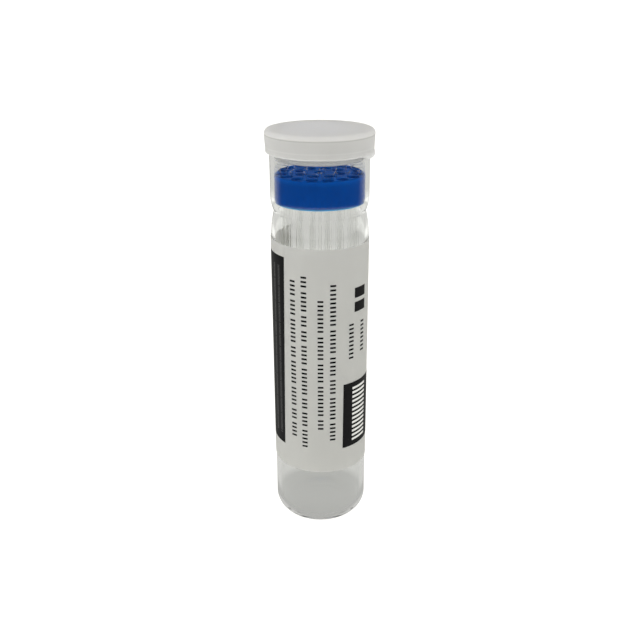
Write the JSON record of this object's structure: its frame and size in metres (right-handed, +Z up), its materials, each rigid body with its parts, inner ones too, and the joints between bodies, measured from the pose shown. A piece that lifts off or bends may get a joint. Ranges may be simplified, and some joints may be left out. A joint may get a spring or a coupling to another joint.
{
  "type": "vial of glass capillary tubes",
  "caption": "Clear glass vial with a waist, a snap cap, a wrapped paper label and a blue perforated disc that holds thin funnel-topped glass capillary tubes upright.",
  "frame": {"origin": "centre of the vial's standing face", "axes": "+Z up the vial's axis, -Y towards the label's front, +X towards the cap's lift lip"},
  "size_m": [0.0273, 0.0272, 0.108],
  "materials": {
    "vial_glass": "clear polished glass",
    "cap_plastic": "milky translucent polyethylene, satin",
    "disc_plastic": "moulded plastic, semi-gloss",
    "label_paper": "coated paper, satin",
    "label_ink": "printed black ink",
    "capillary_glass": "clear thin-walled glass"
  },
  "bodies": {
    "vial": {"vial": "vial_glass", "label": "label_paper", "label_print": "label_ink", "perforated_disc": "disc_plastic", "capillary_01": "capillary_glass", "capillary_02": "capillary_glass", "capillary_03": "capillary_glass", "capillary_04": "capillary_glass", "capillary_05": "capillary_glass", "capillary_06": "capillary_glass", "capillary_07": "capillary_glass", "capillary_08": "capillary_glass", "capillary_09": "capillary_glass", "capillary_10": "capillary_glass", "capillary_11": "capillary_glass", "capillary_12": "capillary_glass", "capillary_13": "capillary_glass", "capillary_14": "capillary_glass", "capillary_15": "capillary_glass", "capillary_16": "capillary_glass", "capillary_17": "capillary_glass", "capillary_18": "capillary_glass", "capillary_19": "capillary_glass", "capillary_20": "capillary_glass", "capillary_21": "capillary_glass", "capillary_22": "capillary_glass", "capillary_23": "capillary_glass", "capillary_24": "capillary_glass", "capillary_25": "capillary_glass"},
    "cap": {"snap_cap": "cap_plastic"}
  },
  "joints": [
    {"name": "cap_lift", "type": "slide", "parent": "vial", "child": "cap", "axis": [0, 0, 1], "range_m": [0, 0.025]}
  ]
}
